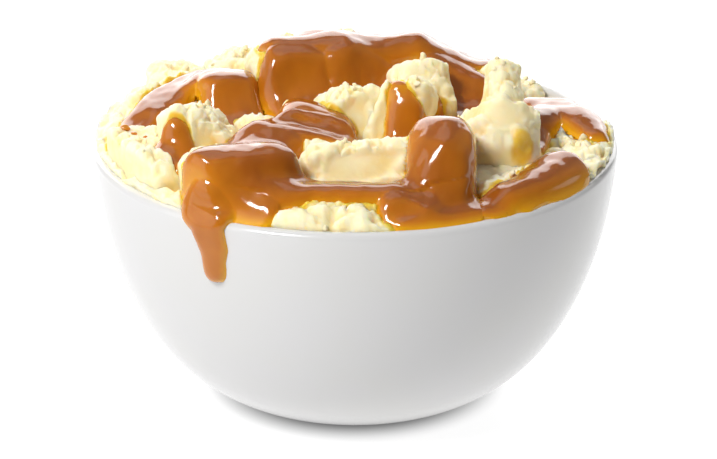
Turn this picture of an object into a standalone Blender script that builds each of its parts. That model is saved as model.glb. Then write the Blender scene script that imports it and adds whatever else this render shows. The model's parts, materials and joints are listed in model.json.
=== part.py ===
"""A white round bowl heaped with chunky mashed potato and brown gravy, as solids. Metres, +Z up.

The origin is the middle of the bowl's foot, and -Y is the side with the most gravy. Each torn lump of
potato is a box whose edges are planed off and whose corners are sliced by a few seeded planes. Lumps stand
on one bed of potato that fills the bowl. Each gravy body is the skin between the lumps that it coats and
the same lumps grown by the gravy's thickness, kept inside the streams that it ran in.
"""

import math

import bmesh
import bpy
import numpy as np
from mathutils import Matrix, Vector

MM = 0.001
GAP = 0.3 * MM
SHARP_FROM = math.radians(30)

# The bowl: a rounded outline that stands upright at the rim, on a low foot ring.
RIM_RADIUS = 57.5 * MM
RIM_HEIGHT = 57.5 * MM
WALL_AT_RIM = 3.2 * MM
FLOOR = 5.0 * MM
BODY_HEIGHT = 1.0364 * RIM_RADIUS
BELLY_POWER = 1.694
SHOULDER_POWER = 3.422
FOOT_OUTER = 23.9 * MM
FOOT_INNER = 21.4 * MM
FOOT_RECESS = 1.3 * MM
BOWL_SEGMENTS = 44

# The potato bed: a low dome, dished where the bowl shows its inner wall.
BED_EDGE_HEIGHT = 56.6 * MM
BED_CROWN = 5.0 * MM
BED_RADIUS = 54.0 * MM
DISH_CENTRE = (44.0 * MM, 22.0 * MM)
DISH_SPREAD = (14.0 * MM, 16.0 * MM)
DISH_DEPTH = 4.5 * MM
BED_SEGMENTS = 32
BED_RINGS = 4
OVERHANG_RADIUS = 55.6 * MM
GROUND_LOW = 30.0 * MM

# A lump's planed edges and its seeded slices, as shares of the box's reach in each direction.
EDGE_PLANED_TO = 0.84
SLICES = 6
SLICED_TO = (0.66, 0.84)

GRAVY_THICKNESS = 2.1 * MM
PRISM_SIDES = 12
PRISM_TURN = 0.37
PRISM_LOW, PRISM_HIGH = 50.0 * MM, 86.0 * MM

# Each lump: centre and half sizes in mm, (turn, forward tilt, sideways tilt) in degrees, and its seed.
LUMPS = {
    "lump_front_left": ((-24.5, -36.5, 58.0), (11.5, 10.0, 9.5), (12, -22, 0), 1),
    "lump_column": ((18.0, -31.0, 60.5), (6.3, 13.0, 10.0), (0, -25, 0), 11),
    "lump_centre": ((-1.0, -7.5, 62.4), (7.9, 7.5, 9.5), (8, -28, 0), 88),
    "lump_mid": ((14.5, 4.0, 64.8), (6.6, 6.5, 8.5), (5, -28, -8), 10),
    "lump_tall_top": ((31.6, -10.4, 69.8), (3.4, 5.5, 8.5), (0, -38, 0), 14),
    "lump_tall_base": ((30.8, -14.5, 60.5), (8.3, 8.0, 9.5), (6, -38, 0), 13),
    "lump_left_mid": ((-32.5, -19.0, 60.8), (8.0, 8.0, 10.5), (20, -30, -16), 33),
    "lump_wedge": ((9.5, -9.0, 62.6), (5.4, 7.0, 10.5), (-10, -26, 18), 9),
    "lump_slab": ((2.0, -29.5, 59.4), (14.0, 8.0, 6.3), (0, -28, -9), 12),
    "lump_arch_front": ((-12.5, -23.0, 58.5), (13.5, 8.0, 7.5), (-4, -15, 10), 7),
    "lump_arch_back": ((-10.0, -14.0, 60.4), (9.0, 6.0, 8.5), (-5, -10, 14), 27),
    "lump_crest_left": ((-12.0, 11.5, 63.2), (12.0, 9.0, 11.0), (8, -20, 0), 15),
    "lump_crest_mid": ((7.0, 17.0, 62.2), (11.0, 8.0, 10.5), (-5, -15, -6), 16),
    "lump_crest_right": ((24.0, 20.0, 58.4), (12.0, 10.0, 8.5), (-15, -15, 2), 17),
    "lump_left_front": ((-44.0, -24.0, 56.5), (10.0, 13.0, 8.0), (30, 0, 8), 2),
    "lump_left_shelf": ((-40.0, 8.0, 58.5), (14.0, 8.0, 6.5), (48, 0, -4), 44),
    "lump_left_rim": ((-48.5, 5.0, 55.5), (6.0, 20.0, 5.0), (-8, 0, 8), 4),
    "lump_back_left": ((-40.0, 25.0, 55.6), (7.5, 9.0, 8.0), (30, 0, 10), 5),
    "lump_back_left_inner": ((-25.5, 30.5, 57.2), (8.5, 8.0, 8.0), (-20, 0, 0), 6),
    "lump_front_bank": ((-4.0, -43.0, 56.0), (26.0, 7.5, 5.0), (0, -15, 0), 18),
    "lump_right_bank": ((38.0, -33.0, 55.5), (14.0, 8.0, 4.5), (38, 0, 0), 19),
    "lump_right_rim": ((49.0, -8.0, 54.5), (5.0, 13.0, 4.5), (10, 0, 0), 20),
    "lump_right_back": ((43.0, 5.0, 56.0), (8.0, 9.0, 5.0), (0, 0, 0), 21),
    "lump_rear_left": ((-8.0, 34.0, 58.5), (12.0, 9.0, 9.0), (15, 8, 0), 22),
    "lump_rear_right": ((14.0, 38.0, 56.0), (10.0, 8.0, 7.0), (-15, 8, 0), 23),
    "lump_rear_rim": ((33.0, 30.0, 52.5), (9.0, 9.0, 5.0), (-40, 8, 0), 24),
    "lump_rear_far_left": ((-26.0, 43.0, 54.5), (9.0, 7.0, 5.5), (30, 10, 0), 25),
    "lump_rear_far_mid": ((3.0, 47.0, 54.5), (8.0, 6.0, 5.5), (5, 12, 0), 26),
    "lump_rear_far_right": ((28.0, 41.0, 53.0), (8.0, 6.0, 5.0), (-35, 10, 0), 28),
    "lump_hollow": ((-20.0, -7.0, 59.5), (6.0, 5.5, 5.5), (10, -20, 0), 29),
    "lump_left_slope": ((-27.5, 5.0, 61.0), (7.5, 6.5, 8.5), (10, -30, 0), 34),
}

# Each gravy body: the lumps that it coats, and its streams as (x, y, half width) in mm, as seen from above.
GRAVIES = {
    "gravy_front": (
        ("lump_front_left", "lump_column", "lump_arch_front", "lump_arch_back", "lump_front_bank"),
        (
            ((-28, -41, 8), (-19.5, -42, 9), (-8, -43.5, 5.2), (6, -44, 5), (15, -45, 6.5), (18.5, -41, 8),
             (19, -30, 7), (18.5, -24, 6)),
            ((-24, -36, 6), (-17, -28, 6), (-12, -23, 6)),
            ((-24, -26, 4.5), (-14, -24, 6), (-4, -23, 4)),
            ((-14, -20, 4), (-12, -13, 4), (-3, -14, 2.5)),
        ),
    ),
    "gravy_back": (
        ("lump_crest_left", "lump_crest_mid", "lump_crest_right"),
        (
            ((-15, 12, 6.5), (-8, 12, 7), (2, 15, 8), (12, 18, 7), (22, 20, 8), (30, 22, 6)),
            ((-13, 4, 8), (-9, -4, 6), (-7, -7, 3)),
            ((4, 8, 6.5), (9, 3, 5)),
            ((20, 12, 6), (26, 6, 7), (24, 0, 5)),
        ),
    ),
    "gravy_wedge": (("lump_wedge",), (((9, -5, 3.4), (10.5, -12, 5), (11.5, -18, 6)),)),
    "gravy_left": (
        ("lump_left_shelf", "lump_left_rim", "lump_left_slope"),
        (
            ((-49, -12, 4.5), (-46, -4, 5), (-40, 6, 5.5), (-32, 15, 6), (-25, 18, 5)),
            ((-30, 9, 6), (-27, -2, 6)),
        ),
    ),
    "gravy_patch": (("lump_left_mid", "lump_left_front"), (((-38, -27, 4.2), (-36, -31, 3.2)),)),
    "gravy_right": (
        ("lump_right_bank",),
        (((28.5, -43.5, 3.6), (34, -39, 4.8), (41, -33, 5.4), (46, -26.5, 5.2)),),
    ),
    "gravy_right_back": (
        ("lump_right_back", "lump_right_rim"),
        (((41, -6, 3), (42, 4, 5), (48, 2, 6), (50, 9, 4)),),
    ),
    "gravy_rear": (
        ("lump_rear_left", "lump_rear_right"),
        (((-10, 30, 5), (-9, 38, 5.5), (-6, 45, 4)), ((10, 36, 5), (17, 42, 4.5))),
    ),
}

# The drip over the rim, at this angle round the bowl: radius, height, half width and half depth in mm.
DRIP_ANGLE = math.radians(240.3)
DRIP_STATIONS = (
    (51.0, 60.6, 6.5, 1.4),
    (55.0, 60.0, 5.6, 1.7),
    (58.0, 58.0, 4.6, 1.7),
    (58.4, 54.0, 3.7, 1.6),
    (58.0, 49.5, 3.4, 1.8),
    (57.5, 46.4, 3.2, 2.0),
    (57.3, 44.9, 1.6, 1.1),
)
DRIP_SIDES = 12


def clear_scene():
    for old in list(bpy.data.objects):
        bpy.data.objects.remove(old, do_unlink=True)


def finish_material(name, colour, roughness):
    material = bpy.data.materials.new(name)
    material.use_nodes = True
    shader = material.node_tree.nodes["Principled BSDF"]
    shader.inputs["Base Color"].default_value = (*colour, 1.0)
    shader.inputs["Roughness"].default_value = roughness
    shader.inputs["Metallic"].default_value = 0.0
    material.diffuse_color = (*colour, 1.0)
    return material


def new_object(name, bm, helper=False):
    """Makes an object of a bmesh, in flat triangles that face outwards. A helper stays out of the model."""
    bmesh.ops.triangulate(bm, faces=bm.faces)
    bmesh.ops.recalc_face_normals(bm, faces=bm.faces)
    mesh = bpy.data.meshes.new(name)
    bm.to_mesh(mesh)
    bm.free()
    item = bpy.data.objects.new(name, mesh)
    bpy.context.scene.collection.objects.link(item)
    if helper:
        item.hide_render = True
        item.display_type = "WIRE"
    return item


def drop(item):
    bpy.data.meshes.remove(item.data)


def combine(item, operation, other):
    """Applies one Boolean to item and removes the other object."""
    step = item.modifiers.new(operation, "BOOLEAN")
    step.operation = operation
    step.object = other
    graph = bpy.context.evaluated_depsgraph_get()
    done = bpy.data.meshes.new_from_object(item.evaluated_get(graph))
    item.modifiers.clear()
    before = item.data
    item.data = done
    bpy.data.meshes.remove(before)
    drop(other)


def keep_largest_body(item):
    """Removes the crumbs that cutting leaves, and shades the rest smooth but for its sharp edges."""
    bm = bmesh.new()
    bm.from_mesh(item.data)
    bmesh.ops.remove_doubles(bm, verts=bm.verts, dist=1e-6)
    bmesh.ops.triangulate(bm, faces=bm.faces)
    left = set(bm.faces)
    bodies = []
    while left:
        body, edge_of_body = set(), [left.pop()]
        while edge_of_body:
            face = edge_of_body.pop()
            body.add(face)
            for edge in face.edges:
                for neighbour in edge.link_faces:
                    if neighbour in left:
                        left.discard(neighbour)
                        edge_of_body.append(neighbour)
        bodies.append(body)
    sizes = [sum(face.calc_area() for face in body) for body in bodies]
    for body, size in zip(bodies, sizes):
        if size < max(sizes):
            bmesh.ops.delete(bm, geom=list(body), context="FACES")
    bm.to_mesh(item.data)
    bm.free()
    item.data.shade_smooth()
    item.data.set_sharp_from_angle(angle=SHARP_FROM)


def box_of(item):
    points = np.array([vertex.co[:] for vertex in item.data.vertices])
    return points.min(axis=0), points.max(axis=0)


def boxes_meet(first, second):
    """Whether two objects' boxes overlap."""
    (low_a, high_a), (low_b, high_b) = box_of(first), box_of(second)
    return bool((low_a < high_b).all() and (low_b < high_a).all())


def turned(name, outline, segments, helper=False):
    """Turns a list of (radius, height) points, from axis to axis or closed on itself, about Z."""
    bm = bmesh.new()
    ring = [bm.verts.new((radius, 0.0, height)) for radius, height in outline]
    edges = [bm.edges.new(pair) for pair in zip(ring, ring[1:])]
    if outline[0][0] > 0:
        edges.append(bm.edges.new((ring[-1], ring[0])))
    about = {"axis": (0, 0, 1), "cent": (0, 0, 0), "angle": 2 * math.pi}
    bmesh.ops.spin(bm, geom=ring + edges, steps=segments, use_merge=True, **about)
    bmesh.ops.remove_doubles(bm, verts=bm.verts, dist=1e-6)
    return new_object(name, bm, helper)


def outer_radius(height):
    rise = min(1.0, (height + BODY_HEIGHT - RIM_HEIGHT) / BODY_HEIGHT)
    return RIM_RADIUS * (1 - (1 - rise) ** BELLY_POWER) ** (1 / SHOULDER_POWER)


def inner_radius(height):
    rise = min(1.0, (height - FLOOR) / (RIM_HEIGHT - FLOOR))
    return (RIM_RADIUS - WALL_AT_RIM) * (1 - (1 - rise) ** BELLY_POWER) ** (1 / SHOULDER_POWER)


def spread(low, high, count, power=1.0):
    """Heights from low to high, closer together near the low end where power is over 1."""
    return [low + (high - low) * (step / (count - 1)) ** power for step in range(count)]


def inner_heights():
    """The heights of the inner wall's points, which the bowl and the potato in it share."""
    return spread(FLOOR + 0.4 * MM, RIM_HEIGHT - WALL_AT_RIM / 2, 8, 1.8)


def lip_arc(grow, first, last, steps):
    """Points round the rim's half-round lip, from one angle to another, counted from +X."""
    radius = WALL_AT_RIM / 2 + grow
    centre = RIM_RADIUS - WALL_AT_RIM / 2, RIM_HEIGHT - WALL_AT_RIM / 2
    angles = [first + (last - first) * step / steps for step in range(steps + 1)]
    return [(centre[0] + radius * math.cos(angle), centre[1] + radius * math.sin(angle)) for angle in angles]


def bowl(name, grow=0.0, helper=False):
    lip_start = RIM_HEIGHT - WALL_AT_RIM / 2
    outline = [(0.0, FOOT_RECESS - grow), (FOOT_INNER - FOOT_RECESS, FOOT_RECESS - grow)]
    outline += [(FOOT_INNER, -grow), (FOOT_OUTER + grow, -grow)]
    outline += [(outer_radius(z) + grow, z) for z in spread(0.8 * MM, lip_start, 10, 1.5)[:-1]]
    outline += lip_arc(grow, 0.0, math.pi, 5)
    outline += [(inner_radius(z) - grow, z + grow) for z in inner_heights()[-2::-1]]
    outline += [(0.0, FLOOR + grow)]
    return turned(name, outline, BOWL_SEGMENTS, helper)


def outside_of_food():
    """The ring of space that food stays out of: the wall, and whatever is past the overhang above the lip."""
    lip_start = RIM_HEIGHT - WALL_AT_RIM / 2
    out, low, high = 80 * MM, 40 * MM, 95 * MM
    outline = [(out, high), (out, low)]
    outline += [(inner_radius(z) - GAP, z) for z in spread(low, lip_start, 6)[:-1]]
    lip = lip_arc(GAP, math.pi, math.pi / 3, 4)
    outline += [point for point in lip if point[0] < OVERHANG_RADIUS]
    outline += [(OVERHANG_RADIUS, RIM_HEIGHT + GAP), (OVERHANG_RADIUS, high)]
    return turned("outside", outline, BOWL_SEGMENTS, helper=True)


def bed_height(x, y):
    dish = ((x - DISH_CENTRE[0]) / DISH_SPREAD[0]) ** 2 + ((y - DISH_CENTRE[1]) / DISH_SPREAD[1]) ** 2
    crown = BED_CROWN * (1 - (x * x + y * y) / BED_RADIUS**2)
    return BED_EDGE_HEIGHT + crown - DISH_DEPTH * math.exp(-dish)


def lay_on_bed(item, above, raise_by):
    """Moves the points higher than `above` onto the bed's surface, or that far over it."""
    for vertex in item.data.vertices:
        if vertex.co.z > above:
            vertex.co.z = bed_height(vertex.co.x, vertex.co.y) + raise_by


def surface_rings():
    """Points for the bed's upper surface, from its edge at the wall to the axis, before they are lifted."""
    edge = inner_radius(BED_EDGE_HEIGHT - DISH_DEPTH) - GAP
    return [(edge * (BED_RINGS - ring) / BED_RINGS, RIM_HEIGHT) for ring in range(BED_RINGS + 1)]


def potato_bed():
    sides = inner_heights()[:-1]
    outline = [(0.0, FLOOR + GAP)]
    outline += [(inner_radius(z) - GAP, z + GAP) for z in sides]
    item = turned("mash_bed", outline + surface_rings(), BED_SEGMENTS)
    lay_on_bed(item, sides[-1] + MM, 0.0)
    return item


def ground(raise_by):
    """Everything below the bed's surface, raised by that much, and reaching past the wall."""
    reach = BED_RADIUS + 8 * MM
    outline = [(0.0, GROUND_LOW), (reach, GROUND_LOW), (reach, RIM_HEIGHT)] + surface_rings()
    item = turned("ground", outline, BED_SEGMENTS, helper=True)
    lay_on_bed(item, GROUND_LOW + MM, raise_by)
    return item


def lump_planes(half, seed):
    """The planes of one lump in its own axes, as (normal, distance): planed edges, then seeded slices."""
    half = np.array(half) * MM
    planes = []
    for flat in range(3):
        across = [axis for axis in range(3) if axis != flat]
        for signs in ((1, 1), (1, -1), (-1, 1), (-1, -1)):
            normal = np.zeros(3)
            normal[across] = np.array(signs) / math.sqrt(2)
            planes.append((normal, EDGE_PLANED_TO * np.abs(normal) @ half))
    rng = np.random.default_rng(seed)
    for _ in range(SLICES):
        normal = rng.normal(size=3)
        normal /= np.linalg.norm(normal)
        planes.append((normal, rng.uniform(*SLICED_TO) * np.abs(normal) @ half))
    return planes


def lump(name, grow=0.0, helper=False):
    centre, half, (turn, forward, sideways), seed = LUMPS[name]
    bm = bmesh.new()
    bmesh.ops.create_cube(bm, size=2.0, matrix=Matrix.Diagonal([size * MM + grow for size in half] + [1]))
    for normal, distance in lump_planes(half, seed):
        place = Vector(normal * (distance + grow))
        whole = bm.verts[:] + bm.edges[:] + bm.faces[:]
        plane = {"plane_co": place, "plane_no": Vector(normal)}
        cut = bmesh.ops.bisect_plane(bm, geom=whole, clear_outer=True, **plane)
        rim = [piece for piece in cut["geom_cut"] if isinstance(piece, bmesh.types.BMEdge)]
        if rim:
            bmesh.ops.contextual_create(bm, geom=rim)
    tilt = (
        Matrix.Rotation(math.radians(turn), 4, "Z")
        @ Matrix.Rotation(math.radians(forward), 4, "X")
        @ Matrix.Rotation(math.radians(sideways), 4, "Y")
    )
    bm.transform(Matrix.Translation(Vector(centre) * MM) @ tilt)
    bmesh.ops.remove_doubles(bm, verts=bm.verts, dist=1e-5)
    return new_object(name if not helper else name + "_cutter", bm, helper)


def cut_by_lumps(item, names):
    for name in names:
        cutter = lump(name, GAP, helper=True)
        if boxes_meet(item, cutter):
            combine(item, "DIFFERENCE", cutter)
        else:
            drop(cutter)


def stream_prism(name, streams, grow=0.0):
    """Upright prisms round each stretch of the streams, joined into one body."""
    body = None
    for stream in streams:
        for start, end in zip(stream, stream[1:]):
            bm = bmesh.new()
            for x, y, half_width in (start, end):
                for height in (PRISM_LOW, PRISM_HIGH):
                    for side in range(PRISM_SIDES):
                        angle = 2 * math.pi * (side + PRISM_TURN) / PRISM_SIDES
                        reach = half_width * MM + grow
                        spot = x * MM + reach * math.cos(angle), y * MM + reach * math.sin(angle), height
                        bm.verts.new(spot)
            bmesh.ops.convex_hull(bm, input=bm.verts)
            stretch = new_object(name + "_stretch", bm, helper=True)
            if body is None:
                body = stretch
            else:
                combine(body, "UNION", stretch)
    return body


def drip():
    """A flattened tube over the rim and down the outer wall, with a fuller rounded end."""
    bm = bmesh.new()
    outward = Vector((math.cos(DRIP_ANGLE), math.sin(DRIP_ANGLE), 0.0))
    aside = Vector((-outward.y, outward.x, 0.0))
    spots = [outward * radius * MM + Vector((0, 0, height * MM)) for radius, height, _, _ in DRIP_STATIONS]
    rings = []
    for index, (_, _, half_width, half_depth) in enumerate(DRIP_STATIONS):
        along = spots[min(index + 1, len(spots) - 1)] - spots[max(index - 1, 0)]
        away = aside.cross(along).normalized()
        ring = []
        for side in range(DRIP_SIDES):
            angle = 2 * math.pi * side / DRIP_SIDES
            offset = aside * half_width * math.cos(angle) + away * half_depth * math.sin(angle)
            ring.append(bm.verts.new(spots[index] + offset * MM))
        rings.append(ring)
    for first, second in zip(rings, rings[1:]):
        for side in range(DRIP_SIDES):
            after = (side + 1) % DRIP_SIDES
            bm.faces.new((first[side], first[after], second[after], second[side]))
    bm.faces.new(rings[0])
    bm.faces.new(rings[-1])
    return new_object("drip", bm, helper=True)


def gravy(name, earlier):
    coated, streams = GRAVIES[name]
    bm = bmesh.new()
    item = new_object(name, bm)
    skin = ground(GRAVY_THICKNESS)
    item.data = skin.data.copy()
    drop(skin)
    for lump_name in coated:
        combine(item, "UNION", lump(lump_name, GRAVY_THICKNESS, helper=True))
    combine(item, "INTERSECT", stream_prism(name, streams))
    combine(item, "DIFFERENCE", outside_of_food())
    combine(item, "DIFFERENCE", ground(GAP))
    if name == "gravy_front":
        combine(item, "UNION", drip())
        combine(item, "DIFFERENCE", bowl("bowl_cutter", GAP, helper=True))
    cut_by_lumps(item, LUMPS)
    for other in earlier:
        combine(item, "DIFFERENCE", stream_prism(other, GRAVIES[other][1], GAP))
    keep_largest_body(item)
    return item


def main():
    clear_scene()
    china = finish_material("bowl", (0.86, 0.86, 0.87), 0.18)
    potato = finish_material("potato", (0.90, 0.80, 0.46), 0.62)
    sauce = finish_material("gravy", (0.42, 0.13, 0.015), 0.12)
    bowl("bowl").data.materials.append(china)
    potato_bed().data.materials.append(potato)
    placed = []
    for name in LUMPS:
        item = lump(name)
        combine(item, "DIFFERENCE", outside_of_food())
        combine(item, "DIFFERENCE", ground(GAP))
        cut_by_lumps(item, placed)
        keep_largest_body(item)
        item.data.materials.append(potato)
        placed.append(name)
    poured = []
    for name in GRAVIES:
        gravy(name, poured).data.materials.append(sauce)
        poured.append(name)


main()
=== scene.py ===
"""A round white bowl heaped with torn lumps of mashed potato under brown gravy.

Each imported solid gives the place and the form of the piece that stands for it. The shape
functions work in millimetres, and meshes are written in metres.
"""

import functools
import itertools
import json
import math

import bpy
import numpy as np
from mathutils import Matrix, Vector

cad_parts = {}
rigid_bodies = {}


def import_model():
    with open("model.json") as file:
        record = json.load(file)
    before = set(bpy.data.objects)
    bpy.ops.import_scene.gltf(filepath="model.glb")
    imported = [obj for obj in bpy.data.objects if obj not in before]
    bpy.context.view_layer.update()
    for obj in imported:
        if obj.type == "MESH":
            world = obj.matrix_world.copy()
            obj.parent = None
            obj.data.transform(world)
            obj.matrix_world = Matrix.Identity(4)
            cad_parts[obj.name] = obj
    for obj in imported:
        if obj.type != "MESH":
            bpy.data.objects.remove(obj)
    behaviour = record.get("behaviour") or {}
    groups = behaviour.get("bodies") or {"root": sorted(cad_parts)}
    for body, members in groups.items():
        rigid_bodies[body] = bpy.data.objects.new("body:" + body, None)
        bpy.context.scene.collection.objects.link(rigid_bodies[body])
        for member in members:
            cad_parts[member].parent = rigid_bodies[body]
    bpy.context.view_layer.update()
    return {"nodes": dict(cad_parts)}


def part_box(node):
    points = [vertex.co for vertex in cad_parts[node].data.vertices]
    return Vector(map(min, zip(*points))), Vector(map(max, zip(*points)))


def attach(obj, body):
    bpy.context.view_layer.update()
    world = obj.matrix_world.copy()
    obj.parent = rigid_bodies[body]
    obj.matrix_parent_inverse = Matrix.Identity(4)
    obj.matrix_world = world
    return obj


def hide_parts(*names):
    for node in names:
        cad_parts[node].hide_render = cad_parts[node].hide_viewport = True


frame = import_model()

bl_info = {
    "name": "Bowl of Mashed Potato",
    "version": (1, 0, 0),
    "blender": (4, 5, 0),
    "location": "3D View > Sidebar > Potato",
    "description": "Builds a bowl of mashed potato and gravy around its packed solids",
    "category": "Add Mesh",
}

MM = 1000.0

# The distance to a gently sloped surface, as a share of the height above it.
SLOPED = 0.97


def corners_of(node):
    """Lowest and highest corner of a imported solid, in millimetres."""
    return tuple(np.array(corner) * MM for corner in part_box(node))


BOWL_LOW, BOWL_HIGH = corners_of("bowl")
BOWL_RADIUS = (BOWL_HIGH[0] - BOWL_LOW[0]) / 2
RIM_HEIGHT = BOWL_HIGH[2]
BED_HIGH = corners_of("mash_bed")[1][2]
LUMPS = sorted(name for name in frame["nodes"] if name.startswith("lump_"))

# Solids that are one lump: the first's piece stands for both.
GROWN_TOGETHER = {"lump_tall_base": "lump_tall_top"}

# Lumps that rise to a ridge, and which way the roof behind the ridge faces.
RIDGED = (
    "lump_centre", "lump_mid", "lump_slab", "lump_left_mid",
    "lump_tall_base", "lump_tall_top", "lump_wedge", "lump_hollow",
)
ROOF = np.array([0.0, 0.5, 0.866])

# More flat sides of ridged lumps: which way each faces, and a point on it as x and height.
SHOULDERS = {
    "lump_tall_base": (((-0.75, 0.0, 0.66), (28.6, 71.0)), ((0.75, 0.0, 0.66), (34.8, 71.0))),
    "lump_centre": (((-0.6, 0.0, 0.8), (-2.0, 71.9)),),
    "lump_mid": (((-0.6, 0.0, 0.8), (12.0, 73.3)),),
    "lump_left_mid": (((0.62, 0.0, 0.78), (-31.0, 69.5)),),
}

# Gravy that lies on the bowl's lip as well as on the potato.
ON_LIP = ("gravy_front", "gravy_right")

# Which lumps each gravy body covers.
COATED = {
    "gravy_front": (
        "lump_front_left", "lump_column", "lump_arch_front", "lump_arch_back", "lump_front_bank",
    ),
    "gravy_back": ("lump_crest_left", "lump_crest_mid", "lump_crest_right"),
    "gravy_wedge": ("lump_wedge",),
    "gravy_left": ("lump_left_shelf", "lump_left_rim", "lump_left_slope"),
    "gravy_patch": ("lump_left_mid", "lump_left_front"),
    "gravy_right": ("lump_right_bank",),
    "gravy_right_back": ("lump_right_back", "lump_right_rim"),
    "gravy_rear": ("lump_rear_left", "lump_rear_right"),
}

# The paths that each gravy body ran along: x, y, height, half width and thickness.
STREAMS = {
    "gravy_front": (
        (
            (-28, -41, 62, 8, 2.2), (-19.5, -42, 62, 9, 2.4), (-8, -43.5, 60.5, 5.6, 2.2),
            (6, -44, 60.5, 5.4, 2.2), (15, -45, 59, 6.5, 2.4), (18, -41, 61, 8, 2.4),
            (18, -30, 67, 8, 2), (17.5, -22, 71, 7.6, 1.6),
        ),
        ((10, -48.5, 58, 5.8, 1.8), (16, -47.5, 58, 7.4, 2), (22, -45, 58, 6, 2)),
        ((-20, -47, 58.5, 6, 2), (-25, -46, 58.5, 6, 2)),
        ((-24, -36, 66, 7, 1.8), (-17, -28, 66, 6.5, 1.8)),
        ((-24, -26, 64, 5, 1.8), (-14, -22, 67, 6.6, 1.9), (-3, -21, 65, 5, 1.6)),
        ((-17, -13, 70, 5, 1.1), (-9, -13, 70, 5.8, 1.1), (-2, -14, 67, 3.8, 1)),
    ),
    "gravy_back": (
        (
            (-15, 12, 76, 6.5, 2), (-8, 12, 75, 7, 2), (2, 15, 73, 8, 2),
            (12, 18, 73, 7, 2), (22, 20, 67, 8, 2), (30, 22, 64, 6, 1.8),
        ),
        ((-13, 4, 70, 8.5, 1.8), (-9, -4, 64, 7, 1.8), (-5, -8, 62, 4, 1.6)),
        ((-1, 7, 70, 7.5, 2), (8, 3, 66, 6.5, 1.8)),
        ((20, 12, 66, 6, 2), (26, 6, 63, 7, 2), (24, -2, 62, 6, 2)),
    ),
    "gravy_wedge": (
        ((8.5, -6, 74, 1.2, 1), (9.6, -12, 69, 3.1, 1.3), (12, -18, 64, 6.2, 1.6)),
        ((14, -2, 65, 3.5, 1.5), (20, -2, 63, 3.5, 1.5)),
    ),
    "gravy_left": (
        (
            (-49, -12, 61, 4.5, 1.6), (-46, -4, 62, 5, 1.6), (-40, 6, 65, 5.5, 1.6),
            (-32, 15, 66, 6, 1.6), (-24, 18, 67, 6, 1.8),
        ),
        ((-29, 9, 67, 7, 1.8), (-26.5, -2, 64, 6.5, 1.8)),
    ),
    "gravy_patch": (((-38, -27, 65, 4.2, 1.5), (-35, -32, 63, 3.2, 1.5)),),
    "gravy_right": (
        (
            (27, -45, 59, 3.8, 2), (34, -39.5, 60, 4.8, 2.6),
            (40, -33, 61, 5.8, 3.2), (43.5, -27, 62, 6.2, 3.6),
        ),
    ),
    "gravy_right_back": (
        ((37, 16, 60, 4.5, 1.8), (44, 8, 61, 6, 2), (50, 0, 60, 5.6, 2), (52, -6, 59, 3.6, 1.8)),
        ((43, 4, 61, 5, 2), (38, -4, 60, 5, 2.2), (37, -12, 58, 4, 2)),
    ),
    "gravy_rear": (
        ((-10, 30, 66, 5, 1.8), (-9, 38, 65, 5.5, 1.8), (-6, 45, 61, 4, 1.8)),
        ((10, 36, 63, 5, 1.8), (17, 42, 61, 4.5, 1.8)),
    ),
}

# The body that runs over the rim and down the wall, and that run in the same terms.
DRIPS = "gravy_front"
DRIP = (
    (-29.4, -46, 59, 6.8, 1.6), (-30.6, -49.6, 58.5, 5.2, 1.6), (-30.4, -49.8, 55.5, 4.2, 1.6),
    (-29, -49.2, 51, 3.3, 1.7), (-28.4, -48.2, 45.9, 2.7, 2.3),
)

# Drops of gravy on the potato: x, y and half width.
DROPS = (
    (-49, -17, 1.2), (-47, -18.5, 0.7), (-51, -14.5, 0.8), (-44.5, -19.5, 0.5),
    (2, 43, 1.2), (33, 34, 1.3), (31, 36, 0.7),
)

# How far out from the bowl's middle gravy reaches, and how steeply it thins towards there.
REACH, REACH_ON_LIP = (55.9, 1.2), (56.9, 0.8)

# How wide a crease between lumps a gravy body fills: each one's own, or the usual width.
FILLS, USUAL_FILL = {"gravy_back": 9.0, "gravy_left": 6.0, "gravy_right_back": 6.0}, 3.0

# Spots where gravy has soaked into the front of a lump: shares of the way across and up
# its box, and radius.
SOAKED_SPOTS = {
    "lump_left_mid": ((0.62, 0.3, 2.2),),
    "lump_tall_base": ((0.74, 0.42, 2.6),),
    "lump_centre": ((0.12, 0.2, 2.0), (0.3, 0.55, 1.2)),
    "lump_mid": ((0.75, 0.15, 2.4),),
}


# ------------------------------------------------------------------ vectors and noise


def unit(vectors):
    """Vectors of length 1 the same way."""
    return vectors / np.linalg.norm(vectors, axis=1, keepdims=True)


def radius_of(points):
    """How far points are from the bowl's axis."""
    return np.hypot(points[:, 0], points[:, 1])


_draw = np.random.default_rng(20)
SLOPES = unit(_draw.normal(size=(256, 3)))
SPOTS = _draw.uniform(size=(256, 3))
SHUFFLE = _draw.permutation(256)


def shuffled(cells, seed):
    """A number from 0 to 255 for each cell of a cubic lattice: a fixed shuffle, looked up
    once for each of the cell's three numbers."""
    found = SHUFFLE[(cells[..., 0] + seed) & 255]
    found = SHUFFLE[(found + cells[..., 1]) & 255]
    return SHUFFLE[(found + cells[..., 2]) & 255]


def swell(points, width, seed=0):
    """Smooth noise from about -1 to 1: each corner of a lattice cell has a random slope,
    and the eight heights blend by 6t^5 - 15t^4 + 10t^3."""
    scaled = points / width
    cell = np.floor(scaled).astype(np.int64)
    part = scaled - cell
    blend = part**3 * (part * (part * 6 - 15) + 10)
    total = np.zeros(points.shape[:-1])
    for corner in itertools.product((0, 1), repeat=3):
        slope = SLOPES[shuffled(cell + corner, seed)]
        height = ((part - corner) * slope).sum(-1)
        total += height * np.where(np.array(corner) == 1, blend, 1 - blend).prod(-1)
    return 1.7 * total


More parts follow.
